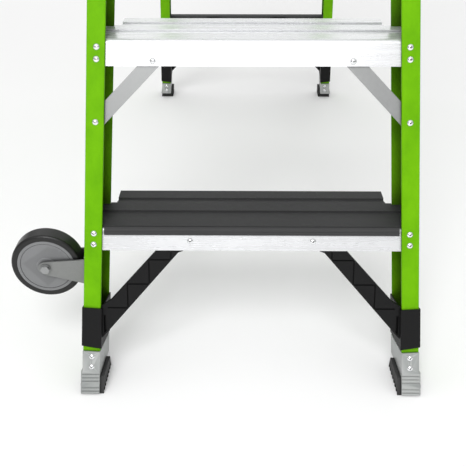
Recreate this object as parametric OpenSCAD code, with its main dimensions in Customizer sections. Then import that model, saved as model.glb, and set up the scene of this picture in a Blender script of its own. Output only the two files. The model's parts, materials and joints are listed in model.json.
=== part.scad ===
// A tall folding step ladder: green fibreglass channel rails, deep aluminium steps,
// moulded corner braces on all four feet, and a side wheel for rolling it when folded.
// Millimetres. The origin is on the floor, at the middle of the ladder's bounding box.

/* [Ladder] */
// Distance between step tops, measured along the front rails
step_pitch = 304.8; // [290:0.1:310]
// Number of steps below the top cap
step_count = 7; // [7:1:7]
// Lean of the front section from upright, in degrees
front_lean = 16.75; // [16:0.05:17]
// Lean of the rear section from upright, in degrees
rear_lean = 17.85; // [17.5:0.05:18]
// Floor distance from the front rails' front face to the rear rails' front face
spread = 1524.8; // [1520:0.1:1535]

/* [Rails] */
// Outside width of the front section at the floor
front_base_w = 597.4; // [590:0.1:600]
// Outside width of the rear section at the floor
rear_base_w = 600; // [596:0.1:602]
// How much each rail runs inwards per millimetre of its height
rail_taper = 0.0575; // [0.056:0.0005:0.058]
// Front rail depth, front to back
front_depth = 86.5; // [84:0.5:88]
// Rear rail depth, front to back
rear_depth = 64; // [62:0.5:66]
// Width of every rail flange
flange_w = 29.8; // [29:0.1:30]
// Wall thickness of the rails
rail_t = 4.5; // [4:0.1:4.8]

/* [Steps] */
// Overall height of a step
step_h = 39.5; // [39:0.5:43]
// Wall thickness of the step extrusion
step_t = 2.5; // [2.2:0.1:2.8]
// Distance the tread reaches back from the front face of the rails
step_reach = 138; // [134:1:140]
// How far the raised bands stand above the channels between them
band_h = 3; // [2:0.5:3]
// Thickness of the non-slip cover on the bottom step
cover_t = 2; // [1.5:0.1:2.2]
// Height that the cover laps down the front of the bottom step
cover_lap = 11; // [9:0.5:14]

/* [Feet] */
// Length along the rail of the ribbed lower part of a shoe
shoe_box_h = 45; // [42:1:48]
// Length along the rail up to the top of a shoe's riveted tabs
shoe_tab_h = 84; // [80:1:86]
// Wall thickness of a shoe
shoe_t = 1.8; // [1.6:0.1:2]
// Thickness of the rubber pad under a shoe
pad_t = 18; // [16:0.5:20]

/* [Wheel] */
// Outside diameter of the tyre
tyre_d = 123; // [120:1:128]
// Width of the tyre
tyre_w = 32; // [28:1:34]
// Axle's distance from the ladder's centre line
axle_x = 356; // [354:0.5:360]
// Axle's height above the floor
axle_z = 212; // [205:1:216]
// Middle of the tyre, measured back from the front feet
wheel_y = 106; // [104:0.5:108]

/* [Hidden] */
$fn = 64;

// colours
green = [0.40, 0.72, 0.04];
bare = [0.90, 0.91, 0.92];
zinc = [0.68, 0.70, 0.71];
charcoal = [0.27, 0.27, 0.28];
black = [0.11, 0.11, 0.12];
hub_grey = [0.50, 0.51, 0.52];

// levels
pitch_z = step_pitch * cos(front_lean);
cap_top = (step_count + 1) * pitch_z;
cap_t = 4;
cap_h = 52;
rail_top = cap_top - cap_t - 0.2;
rail_foot = pad_t + 4.4;
taper_deg = atan(rail_taper);
rail_len = 2600;

// where the rear rails' back face meets the floor
rear_y = spread + rear_depth / cos(rear_lean);

// footprint, used to put the origin in its middle
shoe_out = 3;
toe_out = 3;
foot_right = front_base_w / 2 + shoe_out;
wheel_left = axle_x + tyre_d / 2;
shift_x = (wheel_left - foot_right) / 2;
shift_y = -rear_y / 2;

// hinge between the two sections
fold_gap = 10;
hinge_in = rear_depth / 2;
hinge_front = front_depth + fold_gap + hinge_in;
hinge_z = (spread * cos(rear_lean) + hinge_in - hinge_front * cos(rear_lean) / cos(front_lean))
    / (tan(front_lean) * cos(rear_lean) + sin(rear_lean));
hinge_y = hinge_z * tan(front_lean) + hinge_front / cos(front_lean);
hinge_r = 5;
run_fit = 0.06;
cap_in_x = 166;
cap_wall = 4.5;
cap_front = hinge_y - 140.5;
cap_back = hinge_y + 48;

// spreader
spread_s = 4.5 * step_pitch;
rear_lag = hinge_z * cos(front_lean) + hinge_y * sin(front_lean)
    - hinge_z * cos(rear_lean) - (spread - hinge_y) * sin(rear_lean);
pivot_a_d = front_depth + 11.5;
pivot_b_d = 28;
a_y = spread_s * sin(front_lean) + pivot_a_d * cos(front_lean);
a_z = spread_s * cos(front_lean) - pivot_a_d * sin(front_lean);
b_s = spread_s - rear_lag;
b_y = spread - b_s * sin(rear_lean) + pivot_b_d * cos(rear_lean);
b_z = b_s * cos(rear_lean) + pivot_b_d * sin(rear_lean);
arm_len = norm([b_y - a_y, b_z - a_z]) / 2;
arm_tilt = atan2(b_z - a_z, b_y - a_y);
arm_w = 20;
arm_t = 2.2;
pin_r = 4;
front_arm_in = 33.2;
rear_arm_in = 38.4;

// rivets
rivet_r = 3.1;
rivet_hole_r = 3.2;
rivet_head_r = 5.2;
rivet_head_h = 2.6;
flange_mid = 16;
step_rivet_drops = [10, 29];
brace_foot_drop = 128.6;
brace_head_drop = 31.9;
brace_reach = 95;
brace_w = 25;
corner_rivet_x = 103.9;
corner_rivet_s = 281.2;
shoe_rivets = [55, 74];
relief = 1.6;
bar_h = 40;
bar_d = 12;
bar_t = 2.2;
bar_tops = [322, 929, 1538, 2148];

// half width of a section at length s along its rails
function half_front(s) = front_base_w / 2 - rail_taper * s;
function half_rear(s) = rear_base_w / 2 - rail_taper * s;
// the covered bottom step sits lower by the cover's thickness
function step_sink(n) = n == 1 ? cover_t : 0;
function step_top(n) = n * pitch_z - step_sink(n);

// ---------- frames ----------
module placed() translate([shift_x, shift_y, 0]) children();
module on_side(side) {
    if (side > 0) children();
    else mirror([1, 0, 0]) children();
}
// where a brace's upper rivet sits, for a step s along the rails
function brace_head_x(s) = half_front(s - brace_foot_drop) - flange_mid - brace_reach;

// front section: x across, y back from the front face, z along the rails
module front_section() placed() rotate([-front_lean, 0, 0]) children();
// rear section, mirrored: y runs forwards from the rails' back face
module rear_section() placed() translate([0, rear_y, 0]) mirror([0, 1, 0])
    rotate([-rear_lean, 0, 0]) children();
// one rail's own frame: x = 0 is its outer face and its opening is towards -x
module front_rail_frame(side) front_section() on_side(side)
    translate([front_base_w / 2, 0, 0]) rotate([0, -taper_deg, 0]) children();
module rear_rail_frame(side) rear_section() on_side(side)
    translate([rear_base_w / 2, 0, 0]) rotate([0, -taper_deg, 0]) children();
// an outline in (back, up), extruded across the ladder
module across(w) rotate([90, 0, 90]) linear_extrude(height = w, center = true) children();
// an outline in (x, along the rails), extruded backwards from y = 0
module backwards(d) rotate([90, 0, 0]) translate([0, 0, -d]) linear_extrude(height = d) children();
// everything below height z
module below(z) placed() translate([-600, -1200, z - 400]) cube([1200, 3200, 400]);
module above(z) placed() translate([-600, -1200, z]) cube([1200, 3200, 400]);

// ---------- small shapes ----------
module rounded_rect(w, h, r) {
    translate([r, 0]) square([w - 2 * r, h]);
    translate([0, r]) square([w, h - 2 * r]);
    for (x = [r, w - r])
        for (y = [r, h - r])
            translate([x, y]) circle(r);
}
// round-headed rivet through a stack of thickness grip, its head towards -y
module rivet(grip) rotate([-90, 0, 0]) {
    rotate_extrude() difference() {
        intersection() {
            translate([0, 3.9]) circle(6.5);
            translate([0, -rivet_head_h]) square([rivet_head_r, rivet_head_h]);
        }
        // recess left by the broken mandrel
        translate([0, -rivet_head_h - 1]) square([1.4, 2.3]);
    }
    translate([0, 0, -0.1]) cylinder(r = rivet_r, h = grip + 0.2);
    translate([0, 0, grip]) cylinder(r = 4.6, h = 1.8);
}
// a rivet's hole through whatever lies within 10 mm of its place
module rivet_hole() rotate([90, 0, 0]) cylinder(r = rivet_hole_r, h = 20, center = true);

// ---------- rails ----------
module rail_outline(depth) {
    difference() {
        translate([-flange_w, 0]) rounded_rect(flange_w, depth, 2);
        translate([-flange_w - 10, rail_t]) rounded_rect(flange_w + 10 - rail_t, depth - 2 * rail_t, 2.5);
    }
}
// what a rail loses at its foot: rivet holes, and a little of its flanges' edges where the shoe's wall runs
module shoe_relief(depth) {
    for (s = shoe_rivets)
        for (y = [0, depth])
            translate([-flange_mid, y, s]) rivet_hole();
    translate([-flange_w - 5, -1, -20]) cube([5 + relief, depth + 2, shoe_tab_h + 20.4]);
}
module front_rail(side) color(green) difference() {
    front_rail_frame(side) linear_extrude(height = rail_len) rail_outline(front_depth);
    below(rail_foot);
    above(rail_top);
    for (s = [for (n = [1:step_count]) for (d = step_rivet_drops) n * step_pitch - d])
        front_section() on_side(side) translate([rivet_x(s), 0, s]) {
            rivet_hole();
            translate([0, front_depth, 0]) rivet_hole();
        }
    for (s = [for (n = [2:step_count]) n * step_pitch - brace_foot_drop])
        front_section() on_side(side) translate([rivet_x(s), 0, s]) rivet_hole();
    front_rail_frame(side) shoe_relief(front_depth);
    if (side < 0) wheel_bolt_places() rotate([0, 90, 0]) cylinder(r = 3.2, h = 60, center = true);
    cap_rivet_places(side) rotate([0, 90, 0]) cylinder(r = rivet_hole_r, h = 40, center = true);
}
module rear_rail(side) color(green) difference() {
    rear_rail_frame(side) linear_extrude(height = rail_len) rail_outline(rear_depth);
    below(rail_foot);
    rear_section() translate([-400, -100, rear_top_s()]) cube([800, 300, 400]);
    for (s = bar_tops)
        for (d = [10, 30])
            rear_section() on_side(side) translate([half_rear(s - d) - flange_mid, 0, s - d]) rivet_hole();
    rear_rail_frame(side) shoe_relief(rear_depth);
    hinge_place(side) rotate([0, 90, 0]) cylinder(r = hinge_r + run_fit, h = 80, center = true);
}
// length along the rear rails where they end, just above the hinge
function rear_top_s() = hinge_z * cos(rear_lean) + (rear_y - hinge_y) * sin(rear_lean) + 21;

// ---------- steps ----------
band_edges = [[4.5, 36], [65, 95], [112, step_reach]];
nose_r = 8;
// distance back at height z (down is negative) of a face that lies d behind the rails' front
function slope_y(d, z) = d / cos(front_lean) + z * tan(front_lean);
module leg(d, h, top = -1) polygon([
    [slope_y(d, top), top], [slope_y(d + step_t, top), top],
    [slope_y(d + step_t, -h), -h], [slope_y(d, -h), -h]
]);
// y of the nose's centre, whose circle touches the front leg's sloping face
nose_y = slope_y(rail_t, -nose_r) + nose_r / cos(front_lean);
leg_top = -nose_r + nose_r * sin(front_lean);
module nose_arc(outer, inner) intersection() {
    translate([nose_y, -nose_r]) difference() {
        circle(outer);
        circle(inner);
    }
    polygon([
        [nose_y + 0.2, -nose_r], [nose_y + 0.2, 5], [nose_y - 20, 5],
        [nose_y - 20, -nose_r + 20 * tan(front_lean) - 0.5]
    ]);
}
// tread with three raised bands
module tread_outline() difference() {
    translate([nose_y, -step_t - band_h]) square([step_reach - nose_y, step_t + band_h]);
    for (i = [0, 1]) {
        valley = [band_edges[i][1], band_edges[i + 1][0]];
        translate([valley[0], -band_h]) square([valley[1] - valley[0], band_h + 1]);
    }
    for (b = band_edges)
        translate([b[0] + step_t, -step_t - band_h - 1]) square([b[1] - b[0] - 2 * step_t, band_h + 1]);
}
module step_shell(w, h) {
    across(w) nose_arc(nose_r, nose_r - step_t);
    across(w) tread_outline();
    across(w) leg(rail_t, h, leg_top + 0.1);
    across(w) leg(front_depth - rail_t - step_t - 0.2, 36, -0.5);
    across(w) leg(step_reach * cos(front_lean) - step_t, 30, -0.5);
}
// room that a step leaves at its ends for the rails' rear flanges, and for the folded spreaders behind them
end_gap = 2.8;
module rail_room(n) {
    s = n * step_pitch;
    half = half_front(s);
    for (side = [-1, 1]) {
        front_section() on_side(side)
            translate([half - flange_w - 1.6, front_depth - rail_t - 0.2, s - 120]) cube([60, 120, 240]);
        placed() on_side(side)
            translate([half - rear_arm_in - arm_t - 1.2, step_top(n) * tan(front_lean) + 92, step_top(n) - 60])
                cube([60, 80, 80]);
    }
}
module step(n) {
    s = n * step_pitch;
    half = half_front(s);
    color(bare) difference() {
        placed() translate([0, step_top(n) * tan(front_lean), step_top(n)])
            step_shell(2 * (half - rail_t - end_gap), step_h - step_sink(n));
        rail_room(n);
        for (side = [-1, 1]) {
            for (d = step_rivet_drops)
                front_section() on_side(side) translate([rivet_x(s - d), 0, s - d]) {
                    rivet_hole();
                    translate([0, front_depth, 0]) rivet_hole();
                }
            if (n > 1)
                front_section() on_side(side)
                    translate([brace_head_x(s), 0, s - brace_head_drop]) rivet_hole();
            else
                front_section() on_side(side) translate([corner_rivet_x, 0, corner_rivet_s]) rivet_hole();
        }
    }
}
// x of the flange rivets at length s
function rivet_x(s) = half_front(s) - flange_mid;

// thin ribbed cover that follows the bands of the bottom step
module cover_front() polygon([
    [slope_y(rail_t - cover_t, leg_top), leg_top], [slope_y(rail_t - 0.02, leg_top), leg_top],
    [slope_y(rail_t - 0.02, -cover_lap), -cover_lap],
    [slope_y(rail_t - cover_t, -cover_lap), -cover_lap]
]);
module cover_top() difference() {
    translate([nose_y, -band_h + 0.02]) square([step_reach - nose_y, cover_t + band_h]);
    for (i = [0, 1]) {
        valley = [band_edges[i][1], band_edges[i + 1][0]];
        translate([valley[0] + cover_t, -band_h + cover_t])
            square([valley[1] - valley[0] - 2 * cover_t, band_h + 1]);
    }
    // room for the step's own bands
    translate([-20, -band_h - 1]) square([band_edges[0][1] + 20.02, band_h + 1.02]);
    translate([band_edges[1][0] - 0.02, -band_h - 1])
        square([band_edges[1][1] - band_edges[1][0] + 0.04, band_h + 1.02]);
    translate([band_edges[2][0] - 0.02, -band_h - 1]) square([60, band_h + 1.02]);
}
module cover_shell(w) {
    across(w) difference() {
        nose_arc(nose_r + cover_t, nose_r + 0.02);
        // groove behind the nose
        translate([6.4, 0.5]) square([1.6, cover_t]);
    }
    across(w) cover_front();
    across(w) cover_top();
}
module step_1_tread() {
    half = half_front(step_pitch);
    color(charcoal) difference() {
        placed() translate([0, step_top(1) * tan(front_lean), step_top(1)])
            cover_shell(2 * (half - rail_t - end_gap));
        rail_room(1);
        // the nose fits between the rails' front flanges
        for (side = [-1, 1])
            front_section() on_side(side) translate([half - flange_w - 2.6, -20, step_pitch - 60])
                cube([60, 27, 120]);
    }
}

// ---------- flat braces under the steps ----------
module step_brace(n) {
    foot_s = n * step_pitch - brace_foot_drop;
    foot_x = rivet_x(foot_s);
    rise = brace_foot_drop - brace_head_drop;
    slant = atan2(rise, -brace_reach);
    translate([foot_x, rail_t + step_t + 0.1, foot_s]) difference() {
        union() {
            backwards(3) {
                rotate(slant) translate([0, -brace_w / 2]) square([norm([rise, brace_reach]), brace_w]);
                circle(brace_w / 2);
                translate([-brace_reach, rise]) circle(brace_w / 2);
            }
            // pressed boss that meets the flange
            translate([0, -step_t, 0]) rotate([-90, 0, 0]) cylinder(r = 9, h = step_t + 0.5);
        }
        rivet_hole();
        translate([-brace_reach, 0, rise]) rivet_hole();
    }
}
module step_braces(side) color(zinc) difference() {
    for (n = [2:step_count])
        front_section() on_side(side) step_brace(n);
    // clear of the rail's web
    front_rail_frame(side) translate([-rail_t - 0.6, 0, 0]) cube([40, 60, rail_len]);
}

// ---------- moulded corner brace with its collar ----------
collar_lo = 90;
collar_hi = 163.5;
collar_t = 2.1;
collar_fit = 0.2;
corner_top = 264.5;
edge_ref = 262.6;
strut_y = 5;
strut_t = 5;
lug_t = 3.2;
frame_t = 3.2;
// x of the strut's lower and upper long edges at length s, and back again
low_edge = [122.9, 1.147];
high_edge = [163.7, 1.101];
function edge_x(edge, s) = edge[0] + (edge_ref - s) / edge[1];
function edge_s(edge, x) = edge_ref - (x - edge[0]) * edge[1];
// how far a strut that ends higher up also reaches further in
function top_shift(top) = edge_x(low_edge, top) - edge_x(low_edge, corner_top);
// the strut between its edges, its collar end and its top, drawn in by t
module strut_area(x, top, t) polygon([
    [edge_x(low_edge, top - t) + 1.32 * t, top - t], [edge_x(high_edge, top - t) - 1.32 * t, top - t],
    [x - t, edge_s(high_edge, x - t + 1.32 * t)], [x - t, edge_s(low_edge, x - t - 1.32 * t)]
]);
// staircase of upright and level lines between the strut's two long edges
rib_x = 174.8;
rib_s = 204.7;
rib_run = 38;
rib_rise = 43.4;
module strut_lines(w) for (i = [-1:1]) {
    x = rib_x + i * rib_run;
    s = rib_s - i * rib_rise;
    translate([x - w / 2, s]) square([w, rib_rise]);
    translate([x - rib_run - w / 2, s + rib_rise - w / 2]) square([rib_run + w, w]);
    translate([x - w / 2, s - w / 2]) square([rib_run + w, w]);
}
module corner_brace(base_w, depth, top, lug_y) {
    root_x = base_w / 2 - rail_taper * 130 - flange_w - collar_t - collar_fit + 0.8;
    step_in = [top_shift(top), top - corner_top];
    strut_depth = max(9, lug_y + lug_t - strut_y);
    // sleeve round the rail
    translate([base_w / 2, 0, 0]) rotate([0, -taper_deg, 0]) difference() {
        translate([-flange_w - collar_fit - collar_t, -collar_t - collar_fit, collar_lo])
            linear_extrude(height = collar_hi - collar_lo)
                rounded_rect(flange_w + 2 * (collar_fit + collar_t), depth + 2 * (collar_fit + collar_t), 2);
        translate([-flange_w - collar_fit, -collar_fit, collar_lo - 20])
            linear_extrude(height = collar_hi - collar_lo + 40)
                rounded_rect(flange_w + 2 * collar_fit, depth + 2 * collar_fit, 1.6);
        // the lower edge rises towards the outer corner
        translate([-flange_w - 3, -10, collar_lo]) rotate([0, -6, 0]) translate([-5, 0, -20])
            cube([60, depth + 20, 20]);
    }
    difference() {
        union() {
            // face plate, edge flanges and the ribs behind it
            translate([0, strut_y, 0]) backwards(strut_t) strut_area(root_x, top, 0);
            translate([0, strut_y, 0]) backwards(strut_depth) difference() {
                strut_area(root_x, top, 0);
                strut_area(root_x, top, frame_t);
            }
            translate([0, strut_y + 1, 0]) backwards(strut_depth - 1) intersection() {
                strut_area(root_x, top, 1);
                translate(step_in) strut_lines(2.4);
            }
            // fillet between the strut and the top of the collar
            translate([0, strut_y, 0]) backwards(strut_depth) polygon([
                [root_x - 17, edge_s(high_edge, root_x - 17)], [root_x, collar_hi + 0.4],
                [root_x, edge_s(high_edge, root_x) - 4]
            ]);
            // block beside the collar
            translate([0, strut_y, 0]) backwards(strut_depth) intersection() {
                strut_area(root_x, top, 0);
                translate([root_x - 10, collar_lo]) square([10, 66]);
            }
            // lug with the upper rivet
            translate([0, lug_y, 0]) backwards(lug_t) translate(step_in) {
                translate([corner_rivet_x, corner_rivet_s]) circle(10);
                polygon([
                    [116.9, 263.2], [148, 252], [148, corner_rivet_s + 10],
                    [corner_rivet_x, corner_rivet_s + 10],
                    [94.6, corner_rivet_s - 4]
                ]);
            }
        }
        // lines pressed into the face
        translate([0, strut_y - 1, 0]) backwards(4) intersection() {
            strut_area(root_x - 9, top, 2);
            translate(step_in) strut_lines(2.2);
        }
        // deep recess beside the collar
        translate([0, strut_y - 1, 0]) backwards(strut_depth - 1.5) intersection() {
            strut_area(root_x - 1.6, top, 2.2);
            translate([root_x - 8, collar_lo]) square([6.4, 58]);
        }
        translate([corner_rivet_x + step_in[0], lug_y, corner_rivet_s + step_in[1]]) rivet_hole();
    }
}
module corner_brace_front(side) color(black)
    front_section() on_side(side) corner_brace(front_base_w, front_depth, corner_top, rail_t + step_t + 0.2);
rear_corner_top = bar_tops[0] - bar_h - 0.3;
rear_corner_rivet = [
    corner_rivet_x + top_shift(rear_corner_top),
    corner_rivet_s + rear_corner_top - corner_top
];
module corner_brace_rear(side) color(black)
    rear_section() on_side(side)
        corner_brace(rear_base_w, rear_depth, rear_corner_top, rail_t + bar_d + 0.2);

// ---------- feet ----------
// a shoe in its rail's frame, toe at y = 0; the floor is cut away by the caller
shoe_in = flange_w + 0.5;
groove_pitch = 6.4;
module shoe_body(depth) {
    difference() {
        union() {
            // ribbed box round the rail's end
            translate([-shoe_in, -toe_out, -40]) linear_extrude(height = 40 + shoe_box_h)
                rounded_rect(shoe_out + shoe_in, depth + 2 * toe_out, 2.5);
            // riveted tabs and the tall inner wall
            for (y = [-toe_out, depth])
                translate([-shoe_in, y, 0]) cube([shoe_in, toe_out, shoe_tab_h]);
            translate([-shoe_in, -toe_out, 0]) cube([shoe_t, depth + 2 * toe_out, shoe_tab_h]);
        }
        // room for the rail
        translate([-shoe_in + shoe_t, -0.2, -60]) cube([shoe_in - shoe_t + 0.4, depth + 0.4, 200]);
        // level grooves across the toe
        for (i = [0:6])
            translate([-shoe_in / 2, -toe_out - 0.1, shoe_box_h - 5.6 - i * groove_pitch])
                rotate([0, taper_deg, 0]) translate([-40, 0, 0]) cube([80, 1, 2.6]);
        for (s = shoe_rivets)
            for (y = [0, depth])
                translate([-flange_mid, y, s]) rivet_hole();
    }
}
module shoe_floor(depth, lean) {
    // sole plate, level with the floor
    intersection() {
        translate([-shoe_in, -toe_out, -60]) cube([shoe_in + shoe_out, depth + 2 * toe_out, 160]);
        rotate([0, taper_deg, 0]) rotate([lean, 0, 0])
            translate([-200, -100, pad_t + 0.2]) cube([400, 400, 4]);
    }
}
// what a shoe leaves open for its pad: everything low except a toe guard
module pad_room(depth, lean) {
    rotate([0, taper_deg, 0]) rotate([lean, 0, 0]) translate([-200, -100, -200]) cube([400, 400, 202.5]);
    difference() {
        rotate([0, taper_deg, 0]) rotate([lean, 0, 0])
            translate([-200, -100, -200]) cube([400, 400, 200 + pad_t + 0.2]);
        translate([-200, -100, -200]) cube([400, 100, 400]);
    }
}
module shoe(depth, lean) {
    difference() {
        shoe_body(depth);
        pad_room(depth, lean);
    }
    shoe_floor(depth, lean);
}
// rubber pad with a tall lip on its inner side, round grooves across its sole and notches in its lower edge
pad_lip = 7;
lip_rise = 15.5;
tooth_pitch = 10.9;
tooth_start = 8.3;
notch_r = 3.4;
notch_h = 9;
module foot_pad(depth, lean) {
    lip_x = -shoe_in - 0.3 - pad_lip;
    wide = shoe_out - 0.2 - lip_x;
    heel = depth / cos(lean) - 11;
    teeth = round((heel - 2.4) / tooth_pitch);
    difference() {
        intersection() {
            rotate([0, taper_deg, 0]) rotate([lean, 0, 0]) translate([lip_x - 4, -3, 0])
                cube([wide + 8, heel + 3, pad_t + lip_rise]);
            translate([lip_x, 2, -60]) cube([wide, depth + 3.6, 200]);
        }
        // the shoe stands here
        intersection() {
            rotate([0, taper_deg, 0]) rotate([lean, 0, 0]) translate([-100, -100, pad_t])
                cube([200, 400, 100]);
            translate([-shoe_in - 0.3, -100, -60]) cube([100, 400, 300]);
        }
        rotate([0, taper_deg, 0]) rotate([lean, 0, 0]) {
            for (i = [0:teeth - 1])
                translate([0, tooth_start + i * tooth_pitch, 0]) {
                    translate([-100, 0, 0.6]) rotate([0, 90, 0]) cylinder(r = 2.3, h = 200);
                    translate([lip_x + 0.6, 0, -1]) cylinder(r = notch_r, h = notch_h + 1);
                }
            // the lip's top falls gently towards the heel, which is cut back
            translate([-100, -3, pad_t + lip_rise]) rotate([-4.6, 0, 0]) cube([200, 140, 30]);
            translate([-100, heel, 0]) rotate([16, 0, 0]) translate([0, 0, -20]) cube([200, 60, 80]);
        }
    }
}
module shoe_front(side) color(zinc) front_rail_frame(side) shoe(front_depth, front_lean);
module shoe_rear(side) color(zinc) rear_rail_frame(side) shoe(rear_depth, rear_lean);
module foot_pad_front(side) color(charcoal) front_rail_frame(side) foot_pad(front_depth, front_lean);
module foot_pad_rear(side) color(charcoal) rear_rail_frame(side) foot_pad(rear_depth, rear_lean);

// ---------- rivets ----------
module step_rivets() color(bare)
    for (side = [-1, 1])
        for (n = [1:step_count])
            for (d = step_rivet_drops) {
                s = n * step_pitch - d;
                front_section() on_side(side) translate([rivet_x(s), 0, s]) {
                    rivet(rail_t + step_t);
                    translate([0, front_depth, 0]) mirror([0, 1, 0]) rivet(rail_t + step_t + 0.2);
                }
            }
module brace_rivets() color(bare)
    for (side = [-1, 1]) {
        for (n = [2:step_count]) {
            s = n * step_pitch - brace_foot_drop;
            front_section() on_side(side) translate([rivet_x(s), 0, s]) rivet(rail_t + step_t + 3.1);
            front_section() on_side(side)
                translate([rivet_x(s) - brace_reach, rail_t, s + brace_foot_drop - brace_head_drop])
                    rivet(step_t + 3.1);
        }
        front_section() on_side(side) translate([corner_rivet_x, rail_t, corner_rivet_s]) rivet(step_t + 3.4);
    }
module shoe_rivets_front() color(bare)
    for (side = [-1, 1])
        for (s = shoe_rivets)
            front_rail_frame(side) translate([-flange_mid, -toe_out, s]) {
                rivet(rail_t + toe_out);
                translate([0, front_depth + 2 * toe_out, 0]) mirror([0, 1, 0]) rivet(rail_t + toe_out);
            }
module shoe_rivets_rear() color(bare)
    for (side = [-1, 1])
        for (s = shoe_rivets)
            rear_rail_frame(side) translate([-flange_mid, -toe_out, s]) {
                rivet(rail_t + toe_out);
                translate([0, rear_depth + 2 * toe_out, 0]) mirror([0, 1, 0]) rivet(rail_t + toe_out);
            }

// ---------- top cap and hinge ----------
module hinge_place(side) placed() translate([side * (cap_in_x - 4), hinge_y, hinge_z]) children();
module cap_rivet_places(side)
    for (dy = [-96, -66])
        placed() translate([side * (cap_in_x - 2), hinge_y + dy, cap_top - 26]) children();
module top_cap() color(black) difference() {
    placed() translate([-cap_in_x - cap_wall, cap_front, cap_top - cap_h]) union() {
        difference() {
            linear_extrude(height = cap_h)
                rounded_rect(2 * (cap_in_x + cap_wall), cap_back - cap_front, 14);
            translate([cap_wall, cap_wall, -1]) linear_extrude(height = cap_h - cap_t + 1)
                rounded_rect(2 * cap_in_x, cap_back - cap_front - 2 * cap_wall, 10);
        }
    }
    // tool holes and a shallow tray
    for (x = [-110:44:110])
        placed() translate([x, cap_back - 30, cap_top - 20]) cylinder(r = x == -110 ? 15 : 9, h = 40);
    placed() translate([-120, cap_front + 28, cap_top - 1.5]) linear_extrude(height = 5)
        rounded_rect(240, 86, 10);
    for (side = [-1, 1]) {
        hinge_place(side) rotate([0, 90, 0]) cylinder(r = hinge_r + run_fit, h = 80, center = true);
        cap_rivet_places(side) rotate([0, 90, 0]) cylinder(r = rivet_hole_r, h = 40, center = true);
    }
}
// x of the front rail's inner web face behind a cap rivet
function cap_rivet_web(dy) = half_front((cap_top - 26) * cos(front_lean) + (hinge_y + dy) * sin(front_lean))
    - rail_t - 0.4;
// rivets with long collars that bridge from the cap to the front rails
module cap_rivets() color(zinc)
    for (side = [-1, 1])
        for (dy = [-96, -66])
            placed() on_side(side) translate([cap_in_x + cap_wall, hinge_y + dy, cap_top - 26])
                rotate([0, 0, 90]) rivet(cap_in_x + cap_wall - cap_rivet_web(dy));
module hinge_bolts() color(zinc)
    for (side = [-1, 1])
        placed() on_side(side) translate([cap_in_x + cap_wall + 0.1, hinge_y, hinge_z]) rotate([0, 90, 0]) {
            cylinder(r = 9, h = 1.6);
            translate([0, 0, 1.6]) cylinder(r = 8, h = 5.5, $fn = 6);
            translate([0, 0, -27]) cylinder(r = hinge_r, h = 28);
        }
module hinge_nuts() color(zinc)
    for (side = [-1, 1])
        placed() on_side(side) translate([cap_in_x - 13.2, hinge_y, hinge_z]) rotate([0, 90, 0]) difference() {
            union() {
                cylinder(r = 9, h = 1.5);
                translate([0, 0, -6.5]) cylinder(r = 8, h = 6.6, $fn = 6);
            }
            translate([0, 0, -10]) cylinder(r = hinge_r + 0.05, h = 20);
        }

// ---------- rear bars ----------
module rear_bar(i) {
    s = bar_tops[i - 1];
    half = half_rear(s) - rail_t - 1.5;
    color(charcoal) difference() {
        rear_section() translate([0, rail_t + 0.1, s - bar_h]) rotate([90, 0, 90])
            linear_extrude(height = 2 * half, center = true) difference() {
                rounded_rect(bar_d, bar_h, 1.5);
                translate([bar_t, bar_t]) square([bar_d, bar_h - 2 * bar_t]);
            }
        for (side = [-1, 1]) {
            for (d = [10, 30])
                rear_section() on_side(side)
                    translate([half_rear(s - d) - flange_mid, 0, s - d]) rivet_hole();
            if (i == 1)
                rear_section() on_side(side)
                    translate([rear_corner_rivet[0], 0, rear_corner_rivet[1]]) rivet_hole();
        }
    }
}
module rear_bar_rivets() color(bare)
    for (side = [-1, 1]) {
        for (s = bar_tops)
            for (d = [10, 30])
                rear_section() on_side(side)
                    translate([half_rear(s - d) - flange_mid, 0, s - d]) rivet(rail_t + bar_t + 0.1);
        rear_section() on_side(side) translate([rear_corner_rivet[0], rail_t + 0.1, rear_corner_rivet[1]])
            rivet(bar_d + 3.3);
    }

// ---------- spreaders ----------
arm_hole_r = pin_r + run_fit;
// a bar in the (back, up) plane from the origin, with round ends
module arm_outline(len) {
    translate([0, -arm_w / 2]) square([len, arm_w]);
    circle(arm_w / 2);
    translate([len, 0]) circle(arm_w / 2);
}
// pivot frames: x runs across, out of the rail's face
module pivot_a(side) front_rail_frame(side)
    translate([0, pivot_a_d, spread_s / cos(taper_deg)]) children();
module pivot_b(side) rear_rail_frame(side)
    translate([0, rear_depth - pivot_b_d, (b_s + rear_depth * tan(rear_lean)) / cos(taper_deg)]) children();
module arm(len, tilt, inset) {
    color(zinc) {
        translate([-inset - arm_t, 0, 0]) rotate([tilt, 0, 0]) difference() {
            rotate([90, 0, 90]) linear_extrude(height = arm_t) arm_outline(len);
            rotate([0, 90, 0]) cylinder(r = arm_hole_r, h = 20, center = true);
        }
    }
}
module spreader_front(side) {
    pivot_a(side) arm(arm_len, arm_tilt + front_lean, front_arm_in);
    // outer half of the middle rivet
    color(bare) pivot_a(side) rotate([arm_tilt + front_lean, 0, 0])
        translate([-front_arm_in - 0.02, arm_len, 0]) rotate([0, 90, 0])
            cylinder(r1 = 6.5, r2 = 5.5, h = 1.6);
}
module spreader_rear(side) {
    pivot_b(side) arm(arm_len, rear_lean - arm_tilt, rear_arm_in);
    color(bare) pivot_b(side) rotate([rear_lean - arm_tilt, 0, 0])
        translate([-rear_arm_in - arm_t - 0.98, arm_len, 0]) rotate([0, 90, 0])
            cylinder(r1 = 5.5, r2 = 6.5, h = 1);
}
ear_in = 30.9;
ear_t = 2;
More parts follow.
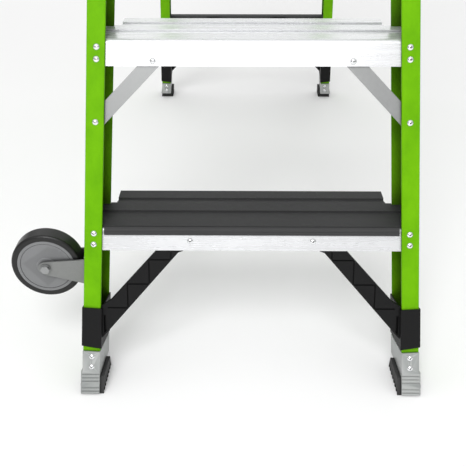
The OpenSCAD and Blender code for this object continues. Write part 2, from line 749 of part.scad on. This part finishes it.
// from the rear pivot back to the inside of the rear flange
ear_back = rear_depth - pivot_b_d - rail_t - 0.1;
module spreader_brackets_front() color(zinc)
    for (side = [-1, 1])
        pivot_a(side) difference() {
            union() {
                translate([-ear_in - ear_t, -11.4, -16]) cube([ear_t + 24, 2, 32]);
                translate([-ear_in - ear_t, -11.4, -16]) cube([ear_t, 11.4, 32]);
                translate([-ear_in - ear_t, 0, 0]) rotate([0, 90, 0]) cylinder(r = 11, h = ear_t);
            }
            rotate([0, 90, 0]) cylinder(r = pin_r + 0.05, h = 90, center = true);
        }
module spreader_pins_front() color(bare)
    for (side = [-1, 1])
        pivot_a(side) {
            translate([-front_arm_in - arm_t - 0.3, 0, 0]) rotate([0, 90, 0])
                cylinder(r = pin_r, h = front_arm_in + arm_t + 0.3 - ear_in + 1);
            translate([-front_arm_in - arm_t - 1.9, 0, 0]) rotate([0, 90, 0])
                cylinder(r1 = 5.5, r2 = 7, h = 1.7);
            translate([-ear_in, 0, 0]) rotate([0, 90, 0]) cylinder(r = 6, h = 1.2);
        }
module spreader_brackets_rear() color(zinc)
    for (side = [-1, 1])
        pivot_b(side) difference() {
            union() {
                translate([-ear_in - ear_t, -ear_back, -16]) cube([ear_t + 24, 2, 32]);
                translate([-ear_in - ear_t, -ear_back, -16]) cube([ear_t, ear_back, 32]);
                translate([-ear_in - ear_t, 0, 0]) rotate([0, 90, 0]) cylinder(r = 11, h = ear_t);
                translate([-rear_arm_in + 0.2, 0, 0]) rotate([0, 90, 0])
                    cylinder(r = 7, h = rear_arm_in - ear_in - 0.2);
            }
            rotate([0, 90, 0]) cylinder(r = pin_r + 0.05, h = 90, center = true);
        }
module spreader_pins_rear() color(bare)
    for (side = [-1, 1])
        pivot_b(side) {
            translate([-rear_arm_in - arm_t - 0.3, 0, 0]) rotate([0, 90, 0])
                cylinder(r = pin_r, h = rear_arm_in + arm_t + 0.3 - ear_in + 1);
            translate([-rear_arm_in - arm_t - 1.3, 0, 0]) rotate([0, 90, 0])
                cylinder(r1 = 5.5, r2 = 7, h = 1.1);
            translate([-ear_in, 0, 0]) rotate([0, 90, 0]) cylinder(r = 6, h = 1.2);
        }

// ---------- side wheel ----------
bracket_t = 3;
fork_gap = tyre_w + 5.6;
axle_r = 5;
arm_end_r = 12.4;
bolt_zs = [-26, 14];
web_lo = -34;
web_hi = 20;
// the bracket's web lies on the rail's outer face; its two arms hold the axle
module wheel_frame() placed() translate([-axle_x, wheel_y, axle_z]) children();
// x of the rail's outer face beside the wheel, at height z
function web_x(z) = half_front(z * cos(front_lean) + wheel_y * sin(front_lean));
module wheel_bolt_places()
    for (dz = bolt_zs)
        for (dy = [-9, 9])
            placed() translate([-web_x(axle_z + dz), wheel_y + dy, axle_z + dz])
                rotate([0, taper_deg, 0]) children();
module bracket_arm() rotate([90, 0, 0]) translate([0, 0, -bracket_t]) difference() {
    linear_extrude(height = bracket_t) {
        circle(arm_end_r);
        polygon([
            [-1, arm_end_r], [axle_x - web_x(axle_z + web_hi) - 0.8, web_hi - 2],
            [axle_x - web_x(axle_z + web_lo) - 0.8, web_lo + 2], [-5, -12.5]
        ]);
    }
    translate([0, 0, -20]) cylinder(r = axle_r + 0.05, h = 40);
}
module wheel_bracket() color(zinc) {
    wheel_frame() {
        translate([0, -fork_gap / 2 - bracket_t, 0]) bracket_arm();
        translate([0, fork_gap / 2, 0]) bracket_arm();
    }
    difference() {
        placed() translate([-web_x(axle_z) - 0.4, wheel_y - fork_gap / 2 - bracket_t, axle_z])
            rotate([0, taper_deg, 0]) translate([-bracket_t, 0, web_lo])
                cube([bracket_t, fork_gap + 2 * bracket_t, web_hi - web_lo]);
        wheel_bolt_places() rotate([0, 90, 0]) cylinder(r = 3.2, h = 60, center = true);
    }
}
module wheel_bracket_bolts() color(bare)
    wheel_bolt_places() rotate([0, 90, 0]) {
        translate([0, 0, -5.15]) cylinder(r = 5.5, h = 1.6);
        translate([0, 0, -4]) cylinder(r = 3.1, h = 15);
        translate([0, 0, 5.2]) cylinder(r = 5.8, h = 5, $fn = 6);
    }
module wheel_axle() color(bare) wheel_frame() rotate([90, 0, 0]) {
    cylinder(r = axle_r, h = fork_gap + 2 * bracket_t + 12, center = true);
    translate([0, 0, fork_gap / 2 + bracket_t + 0.1]) cylinder(r = 9, h = 1.5);
    translate([0, 0, fork_gap / 2 + bracket_t + 1.5]) cylinder(r = 8, h = 5, $fn = 6);
}
module wheel_axle_nut() color(bare) wheel_frame() rotate([-90, 0, 0]) difference() {
    union() {
        translate([0, 0, fork_gap / 2 + bracket_t + 0.1]) cylinder(r = 9, h = 1.5);
        translate([0, 0, fork_gap / 2 + bracket_t + 1.5]) cylinder(r = 8, h = 6, $fn = 6);
    }
    cylinder(r = axle_r + 0.05, h = 60);
}
hub_r = 50.8;
tyre_edge = 4.6;
bush_r = 8;
module tyre() color(black) wheel_frame() rotate([90, 0, 0]) rotate_extrude($fn = 128) {
    translate([hub_r + 0.05, -tyre_w / 2 + tyre_edge])
        square([tyre_d / 2 - hub_r - 0.05, tyre_w - 2 * tyre_edge]);
    translate([hub_r + 0.05, -tyre_w / 2]) square([tyre_d / 2 - tyre_edge - hub_r, tyre_w]);
    for (y = [-tyre_w / 2 + tyre_edge, tyre_w / 2 - tyre_edge])
        translate([tyre_d / 2 - tyre_edge, y]) circle(tyre_edge);
}
module wheel_hub() color(hub_grey) wheel_frame() rotate([90, 0, 0]) rotate_extrude($fn = 128)
    difference() {
        translate([bush_r + 0.05, -tyre_w / 2 + 0.5]) square([hub_r - bush_r - 0.05, tyre_w - 1]);
        for (m = [0, 1])
            mirror([0, m]) {
                translate([hub_r - 6.4, tyre_w / 2 - 1.7]) square([1.3, 10]);
                translate([17, tyre_w / 2 - 1.1]) square([hub_r - 6.3 - 17, 10]);
            }
    }
module wheel_bush() color(bare) wheel_frame() rotate([90, 0, 0]) difference() {
    cylinder(r = bush_r, h = fork_gap - 0.6, center = true);
    cylinder(r = axle_r + run_fit, h = 80, center = true);
}

front_rail(-1);  // front_rail_left
front_rail(1);  // front_rail_right
step(1);  // step_1
step(2);  // step_2
step(3);  // step_3
step(4);  // step_4
step(5);  // step_5
step(6);  // step_6
step(7);  // step_7
step_1_tread();
step_braces(-1);  // step_braces_left
step_braces(1);  // step_braces_right
corner_brace_front(-1);  // corner_brace_front_left
corner_brace_front(1);  // corner_brace_front_right
shoe_front(-1);  // shoe_front_left
shoe_front(1);  // shoe_front_right
foot_pad_front(-1);  // foot_pad_front_left
foot_pad_front(1);  // foot_pad_front_right
step_rivets();
brace_rivets();
shoe_rivets_front();
top_cap();
cap_rivets();
hinge_bolts();
hinge_nuts();
spreader_brackets_front();
spreader_pins_front();
wheel_bracket();
wheel_bracket_bolts();
wheel_axle();
wheel_axle_nut();
tyre();
wheel_hub();
wheel_bush();
rear_rail(-1);  // rear_rail_left
rear_rail(1);  // rear_rail_right
rear_bar(1);  // rear_bar_1
rear_bar(2);  // rear_bar_2
rear_bar(3);  // rear_bar_3
rear_bar(4);  // rear_bar_4
corner_brace_rear(-1);  // corner_brace_rear_left
corner_brace_rear(1);  // corner_brace_rear_right
shoe_rear(-1);  // shoe_rear_left
shoe_rear(1);  // shoe_rear_right
foot_pad_rear(-1);  // foot_pad_rear_left
foot_pad_rear(1);  // foot_pad_rear_right
rear_bar_rivets();
shoe_rivets_rear();
spreader_brackets_rear();
spreader_pins_rear();
spreader_front(-1);  // spreader_front_left
spreader_front(1);  // spreader_front_right
spreader_rear(-1);  // spreader_rear_left
spreader_rear(1);  // spreader_rear_right
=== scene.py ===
"""Looks for the step ladder: rounded CAD pieces, procedural materials, light and camera."""

import json
import math

import bmesh
import bpy
from mathutils import Matrix, Vector

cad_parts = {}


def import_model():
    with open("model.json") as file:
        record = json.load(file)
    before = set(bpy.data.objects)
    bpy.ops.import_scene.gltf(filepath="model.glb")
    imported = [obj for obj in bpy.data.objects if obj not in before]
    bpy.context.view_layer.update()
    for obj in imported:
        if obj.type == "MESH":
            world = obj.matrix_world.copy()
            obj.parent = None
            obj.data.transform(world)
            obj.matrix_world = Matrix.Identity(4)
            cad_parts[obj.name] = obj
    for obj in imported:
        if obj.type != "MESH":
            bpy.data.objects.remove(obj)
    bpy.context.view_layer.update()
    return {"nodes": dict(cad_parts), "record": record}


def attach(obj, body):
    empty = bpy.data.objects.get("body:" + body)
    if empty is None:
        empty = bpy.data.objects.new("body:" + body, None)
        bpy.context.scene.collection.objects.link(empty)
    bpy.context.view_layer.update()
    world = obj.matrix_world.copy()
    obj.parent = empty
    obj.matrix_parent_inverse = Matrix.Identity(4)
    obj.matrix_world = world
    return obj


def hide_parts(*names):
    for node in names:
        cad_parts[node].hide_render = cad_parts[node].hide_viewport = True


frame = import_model()

MM = 0.001
RECORD = frame["record"]
SLOT_OF = {s["node"]: s["material_slot"] for s in RECORD["subparts"]}
MOUNTS = {m["name"]: Vector(m["pos_m"]) for m in RECORD["mounts"]}
BODY_OF = {n: b for b, members in RECORD["behaviour"]["bodies"].items() for n in members}


# ---------- node helpers ----------
class Nodes:
    """A small wrapper that adds and links shader nodes."""

    def __init__(self, name):
        self.material = bpy.data.materials.new(name)
        self.material.use_nodes = True
        self.tree = self.material.node_tree
        self.shader = self.tree.nodes["Principled BSDF"]
        self.place = self.tree.nodes.new("ShaderNodeNewGeometry")

    def add(self, kind, inputs=None, **settings):
        node = self.tree.nodes.new(kind)
        for key, value in settings.items():
            setattr(node, key, value)
        for key, value in (inputs or {}).items():
            self.put(node.inputs[key], value)
        return node

    def put(self, socket, value):
        if isinstance(value, bpy.types.NodeSocket):
            self.tree.links.new(value, socket)
        else:
            socket.default_value = value

    def scaled(self, scale):
        """Object coordinates stretched by scale."""
        coords = self.add("ShaderNodeTexCoord").outputs["Object"]
        mapping = self.add("ShaderNodeMapping", {"Vector": coords, "Scale": scale})
        return mapping.outputs["Vector"]

    def noise(self, scale, detail=3, stretch=(1, 1, 1), rough=0.55):
        vector = self.scaled(stretch)
        node = self.add("ShaderNodeTexNoise", {"Vector": vector, "Scale": scale, "Detail": detail,
                                               "Roughness": rough})
        return node.outputs["Fac"]

    def ramp(self, value, stops):
        node = self.add("ShaderNodeValToRGB", {"Fac": value})
        ramp = node.color_ramp
        while len(ramp.elements) < len(stops):
            ramp.elements.new(0.5)
        for element, (where, color) in zip(ramp.elements, stops):
            element.position = where
            element.color = (*color, 1)
        return node.outputs["Color"]

    def mix(self, factor, a, b):
        node = self.add("ShaderNodeMix", {"Factor": factor}, data_type="RGBA")
        self.put(node.inputs[6], a)
        self.put(node.inputs[7], b)
        return node.outputs[2]

    def span(self, value, low, high):
        node = self.add("ShaderNodeMapRange", {"Value": value, "To Min": low, "To Max": high})
        return node.outputs["Result"]

    def math(self, operation, a, b=0.0):
        node = self.add("ShaderNodeMath", operation=operation)
        self.put(node.inputs[0], a)
        self.put(node.inputs[1], b)
        return node.outputs[0]

    def bump(self, height, strength, distance, under=None):
        node = self.add("ShaderNodeBump",
                        {"Height": height, "Strength": strength, "Distance": distance})
        if under is not None:
            self.put(node.inputs["Normal"], under)
        return node.outputs["Normal"]

    def finish(self, **inputs):
        names = {"color": "Base Color", "rough": "Roughness", "metal": "Metallic", "normal": "Normal",
                 "specular": "Specular IOR Level"}
        for key, value in inputs.items():
            self.put(self.shader.inputs[names[key]], value)
        return self.material

    def painted_crevice_shade(self, reach, open_at=0.9, shut_at=0.35):
        """1 deep in corners and grooves, 0 on open faces: where painted shade goes."""
        node = self.add("ShaderNodeAmbientOcclusion", {"Distance": reach}, samples=6)
        return self.ramp(node.outputs["AO"], [(shut_at, (1, 1, 1)), (open_at, (0, 0, 0))])

    def painted_edge_highlight(self, low, high):
        """1 on sharp outer edges, 0 elsewhere: where a painted highlight goes."""
        sharpness = self.place.outputs["Pointiness"]
        node = self.add("ShaderNodeMapRange", {"Value": sharpness, "From Min": low, "From Max": high})
        return node.outputs["Result"]


def rgba(color):
    return (*color, 1)


# ---------- materials ----------
def fibreglass():
    n = Nodes("green_fibreglass")
    cloud = n.noise(26, 5, (1, 1, 0.7), rough=0.65)
    patch = n.noise(7, 2)
    fibre = n.noise(75, 4, (1, 1, 0.05))
    base = n.ramp(cloud, [(0.30, (0.120, 0.370, 0.000)), (0.50, (0.150, 0.435, 0.000)),
                          (0.70, (0.180, 0.490, 0.001))])
    shaded = n.mix(n.span(patch, 0.0, 0.30), base, rgba((0.105, 0.34, 0.0)))
    color = n.mix(n.span(fibre, 0.0, 0.22), shaded, rgba((0.085, 0.31, 0.0)))
    # painted shade: darker green in the channel's inside corners and where parts meet
    color = n.mix(n.painted_crevice_shade(0.06, 0.94, 0.42), color, rgba((0.022, 0.050, 0.0)))
    grain = n.bump(n.noise(260, 3, (1, 1, 0.12)), 0.10, 0.0004)
    return n.finish(color=color, rough=n.span(fibre, 0.45, 0.62), specular=0.10,
                    normal=n.bump(cloud, 0.12, 0.0015, grain))


def metal(name, light, dark, rough, stretch, metallic, grain=0.05, specular=0.5):
    n = Nodes(name)
    brush = n.noise(220, 4, stretch)
    cloud = n.noise(14, 3)
    color = n.mix(n.span(brush, 0.1, 0.8), rgba(dark), rgba(light))
    color = n.mix(n.span(cloud, 0.0, 0.15), color, rgba(dark))
    # painted shade: darker metal in corners and grooves
    color = n.mix(n.painted_crevice_shade(0.007, 0.85, 0.30), color, rgba([c * 0.35 for c in dark]))
    roughness = n.math("ADD", n.span(brush, rough - 0.08, rough + 0.08), n.span(cloud, -0.04, 0.06))
    return n.finish(color=color, metal=metallic, rough=roughness, specular=specular,
                    normal=n.bump(brush, grain, 0.0003))


def aluminium():
    return metal("mill_finish_aluminium", (0.86, 0.865, 0.88), (0.81, 0.82, 0.835),
                 0.26, (0.02, 1, 1), 0.50)


def zinc():
    return metal("zinc_plate", (0.37, 0.375, 0.375), (0.30, 0.305, 0.305),
                 0.40, (1, 1, 1), 0.75, 0.08)


def cast_shoe():
    n = Nodes("satin_casting")
    sand = n.noise(900, 3)
    cloud = n.noise(30, 3)
    color = n.mix(n.span(cloud, 0.2, 0.8), rgba((0.28, 0.295, 0.29)), rgba((0.36, 0.375, 0.37)))
    # painted highlight: lighter colour along sharp outer edges
    color = n.mix(n.math("MULTIPLY", n.painted_edge_highlight(0.52, 0.62), 0.5), color, rgba((0.62, 0.63, 0.62)))
    # painted shade: darker colour in corners and grooves
    color = n.mix(n.painted_crevice_shade(0.003, 0.85, 0.35), color, rgba((0.16, 0.165, 0.16)))
    return n.finish(color=color, metal=0.55, rough=n.span(sand, 0.42, 0.60),
                    normal=n.bump(sand, 0.25, 0.0003))


def rivet_metal():
    n = Nodes("rivet_metal")
    cloud = n.noise(500, 3)
    color = n.mix(n.span(cloud, 0.1, 0.9), rgba((0.80, 0.81, 0.82)), rgba((0.93, 0.94, 0.95)))
    # painted shadow: near-black ring where the head meets the skin and in the mandrel hole
    color = n.mix(n.painted_crevice_shade(0.003, 0.90, 0.45), color, rgba((0.05, 0.05, 0.05)))
    return n.finish(color=color, metal=0.95, rough=n.span(cloud, 0.14, 0.26),
                    normal=n.bump(cloud, 0.1, 0.0002))


def plastic(name, dark, light, rough, grain_scale, grain, specular=0.5):
    n = Nodes(name)
    texture = n.noise(grain_scale, 3)
    cloud = n.noise(18, 3)
    color = n.mix(n.span(cloud, 0.0, 1.0), rgba(dark), rgba(light))
    # painted highlight: lighter colour along sharp outer edges
    color = n.mix(n.math("MULTIPLY", n.painted_edge_highlight(0.52, 0.60), 0.35), color,
                  rgba([c * 2.2 for c in light]))
    # painted shade: darker colour in corners and grooves
    color = n.mix(n.painted_crevice_shade(0.012, 0.80, 0.25), color, rgba([c * 0.3 for c in dark]))
    return n.finish(color=color, rough=n.span(texture, rough - 0.08, rough + 0.10), specular=specular,
                    normal=n.bump(texture, grain, 0.0003))


def moulding():
    return plastic("black_moulding", (0.0035, 0.0035, 0.0037), (0.006, 0.006, 0.0062),
                   0.50, 1400, 0.20, 0.16)


def tread_cover():
    n = Nodes("charcoal_tread")
    texture = n.noise(900, 3)
    fine = n.add("ShaderNodeTexWave", {"Vector": n.scaled((1, 1, 1)), "Scale": 150, "Distortion": 0.0},
                 bands_direction="Y", wave_profile="SIN").outputs["Fac"]
    cloud = n.noise(7, 3)
    color = n.mix(n.span(cloud, 0.0, 1.0), rgba((0.036, 0.036, 0.037)), rgba((0.049, 0.049, 0.050)))
    color = n.mix(n.span(fine, 0.0, 0.25), color, rgba((0.025, 0.025, 0.026)))
    return n.finish(color=color, rough=n.span(texture, 0.55, 0.72), specular=0.25,
                    normal=n.bump(fine, 0.12, 0.0003, n.bump(texture, 0.2, 0.0003)))


def pad_rubber():
    return plastic("pad_rubber", (0.030, 0.030, 0.030), (0.044, 0.044, 0.044),
                   0.66, 1100, 0.3, 0.15)


def tyre_rubber():
    return plastic("tyre_rubber", (0.007, 0.007, 0.007), (0.011, 0.011, 0.011),
                   0.34, 700, 0.12, 0.4)


def hub_grey():
    return plastic("hub_plastic", (0.155, 0.158, 0.162), (0.195, 0.198, 0.202),
                   0.45, 1200, 0.12, 0.3)


def dark_bar():
    return plastic("charcoal_coating", (0.036, 0.037, 0.039), (0.050, 0.051, 0.053),
                   0.45, 1500, 0.25, 0.3)


MATERIALS = {
    "fibreglass": fibreglass(), "aluminium": aluminium(), "tread_cover": tread_cover(),
    "moulding": moulding(), "cast_shoe": cast_shoe(), "pad_rubber": pad_rubber(),
    "dark_bar": dark_bar(), "tyre_rubber": tyre_rubber(), "hub_grey": hub_grey(),
    "rivet_metal": rivet_metal(), "zinc": zinc(),
}


# nodes whose finish differs from the rest of their slot
OWN_FINISH = {
    "wheel_bracket": metal("bracket_steel", (0.30, 0.305, 0.30), (0.22, 0.225, 0.22),
                           0.46, (1, 0.08, 1), 0.75, 0.1),
}


# ---------- rounded versions of the CAD pieces ----------
# width of each finish's rounded edges, in millimetres
EDGE_ROUND = {"fibreglass": 0.9, "aluminium": 0.5, "tread_cover": 0.35, "moulding": 0.6,
              "cast_shoe": 0.5, "pad_rubber": 0.8, "dark_bar": 0.5, "tyre_rubber": 0.8,
              "hub_grey": 0.5, "rivet_metal": 0.2, "zinc": 0.35}
SMOOTH_ANGLE = math.radians(50)
SHARP_ANGLE = math.radians(35)
FLAT_ANGLE = math.radians(0.5)
WELD = 2e-6


def shade_by_angle(mesh):
    """Smooth across edges blunter than SMOOTH_ANGLE; the rest stay sharp."""
    bm = bmesh.new()
    bm.from_mesh(mesh)
    for face in bm.faces:
        face.smooth = True
    for edge in bm.edges:
        edge.smooth = len(edge.link_faces) == 2 and edge.calc_face_angle(0) < SMOOTH_ANGLE
    bm.to_mesh(mesh)
    bm.free()


def even_shading(piece):
    """Large flat faces keep their own normal right up to their rounded edges."""
    weighted = piece.modifiers.new("even_shading", "WEIGHTED_NORMAL")
    weighted.mode = "FACE_AREA"
    weighted.weight = 50
    weighted.keep_sharp = True
    done = bpy.data.meshes.new_from_object(piece.evaluated_get(bpy.context.evaluated_depsgraph_get()))
    piece.modifiers.clear()
    done.name = piece.data.name + "_mesh"
    piece.data = done


def new_piece(name, bm, node):
    """A mesh piece that stands for a CAD node and rides with it."""
    mesh = bpy.data.meshes.new(name)
    bm.to_mesh(mesh)
    bm.free()
    piece = bpy.data.objects.new(name, mesh)
    bpy.context.scene.collection.objects.link(piece)
    mesh.materials.append(OWN_FINISH.get(node, MATERIALS[SLOT_OF[node]]))
    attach(piece, BODY_OF[node])
    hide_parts(node)
    return piece


def rounded(node, width):
    """The CAD node's shape with its sharp edges rounded off by width millimetres."""
    bm = bmesh.new()
    bm.from_mesh(frame["nodes"][node].data)
    bmesh.ops.remove_doubles(bm, verts=bm.verts, dist=WELD)
    bmesh.ops.dissolve_limit(bm, angle_limit=FLAT_ANGLE, verts=bm.verts, edges=bm.edges)
    sharp = [e for e in bm.edges if len(e.link_faces) == 2 and e.calc_face_angle(0) > SHARP_ANGLE]
    bmesh.ops.bevel(bm, geom=sharp, offset=width * MM, offset_type="OFFSET", segments=2,
                    profile=0.5, affect="EDGES", clamp_overlap=True)
    bmesh.ops.recalc_face_normals(bm, faces=bm.faces)
    piece = new_piece(node + "_finished", bm, node)
    shade_by_angle(piece.data)
    return piece


FINISHED = {}
for node_name, node_slot in SLOT_OF.items():
    FINISHED[node_name] = rounded(node_name, EDGE_ROUND[node_slot])
for finished in FINISHED.values():
    even_shading(finished)


# ---------- floor, light and camera ----------
FLOOR_HALF = 30
# the world's brightness at the horizon and below, and high overhead
WORLD_SIDE = 0.16
WORLD_TOP = 0.84
WORLD_TOP_AT = 0.75


def floor():
    n = Nodes("studio_floor")
    n.finish(color=rgba((0.95, 0.95, 0.95)), rough=0.9, specular=0.05)
    bm = bmesh.new()
    bmesh.ops.create_grid(bm, x_segments=1, y_segments=1, size=FLOOR_HALF)
    mesh = bpy.data.meshes.new("studio_floor")
    bm.to_mesh(mesh)
    bm.free()
    mesh.materials.append(n.material)
    plane = bpy.data.objects.new("studio_floor", mesh)
    bpy.context.scene.collection.objects.link(plane)


def world():
    """A pale studio: bright overhead, dimmer towards the sides."""
    scene_world = bpy.data.worlds.new("studio_world")
    scene_world.use_nodes = True
    tree = scene_world.node_tree
    coords = tree.nodes.new("ShaderNodeTexCoord")
    parts = tree.nodes.new("ShaderNodeSeparateXYZ")
    tree.links.new(coords.outputs["Generated"], parts.inputs[0])
    fade = tree.nodes.new("ShaderNodeValToRGB")
    fade.color_ramp.elements[0].position = 0.0
    fade.color_ramp.elements[0].color = (*[WORLD_SIDE] * 3, 1)
    fade.color_ramp.elements[1].position = WORLD_TOP_AT
    fade.color_ramp.elements[1].color = (*[WORLD_TOP] * 3, 1)
    tree.links.new(parts.outputs["Z"], fade.inputs["Fac"])
    tree.links.new(fade.outputs["Color"], tree.nodes["Background"].inputs["Color"])
    bpy.context.scene.world = scene_world


def softbox(name, place, target, size, power):
    light = bpy.data.lights.new(name, "AREA")
    light.shape = "ELLIPSE"
    light.size, light.size_y = size
    light.energy = power
    lamp = bpy.data.objects.new(name, light)
    lamp.location = place
    lamp.visible_camera = False
    lamp.rotation_euler = (Vector(target) - Vector(place)).to_track_quat("-Z", "Y").to_euler()
    bpy.context.scene.collection.objects.link(lamp)


# the photographer stands in front of the front feet, looking down at the lower steps
FRONT = (MOUNTS["foot_front_left"] + MOUNTS["foot_front_right"]) / 2
CAMERA_PLACE = FRONT + Vector((-0.0207, -1.0020, 0.9002))
CAMERA_DOWN = 30.594
CAMERA_TURN = -0.577
CAMERA_ROLL = 0.066
CAMERA_LENS = 55.64


def camera():
    data = bpy.data.cameras.new("camera")
    data.lens = CAMERA_LENS
    data.sensor_width = 36
    data.clip_start = 0.01
    data.clip_end = 100
    eye = bpy.data.objects.new("camera", data)
    turn = Matrix.Rotation(math.radians(-CAMERA_TURN), 4, "Z")
    tilt = Matrix.Rotation(math.radians(90 - CAMERA_DOWN), 4, "X")
    roll = Matrix.Rotation(math.radians(-CAMERA_ROLL), 4, "Z")
    eye.matrix_world = Matrix.Translation(CAMERA_PLACE) @ turn @ tilt @ roll
    bpy.context.scene.collection.objects.link(eye)
    bpy.context.scene.camera = eye


# name, place and target from FRONT, size, power
SOFTBOXES = [
    ("key_light", (-0.9, -4.4, 5.2), (0, 0.3, 0.6), (3.4, 3.4), 232),
    ("back_light", (0, 5.2, 1.9), (0, 0, 0.8), (7.0, 2.6), 30),
    ("fill_light", (-0.2, -3.0, 1.5), (0, 0.2, 0.4), (1.6, 1.6), 14),
]
floor()
world()
for light_name, place, target, size, power in SOFTBOXES:
    softbox(light_name, FRONT + Vector(place), FRONT + Vector(target), size, power)
bpy.context.scene.view_settings.view_transform = "Standard"
camera()
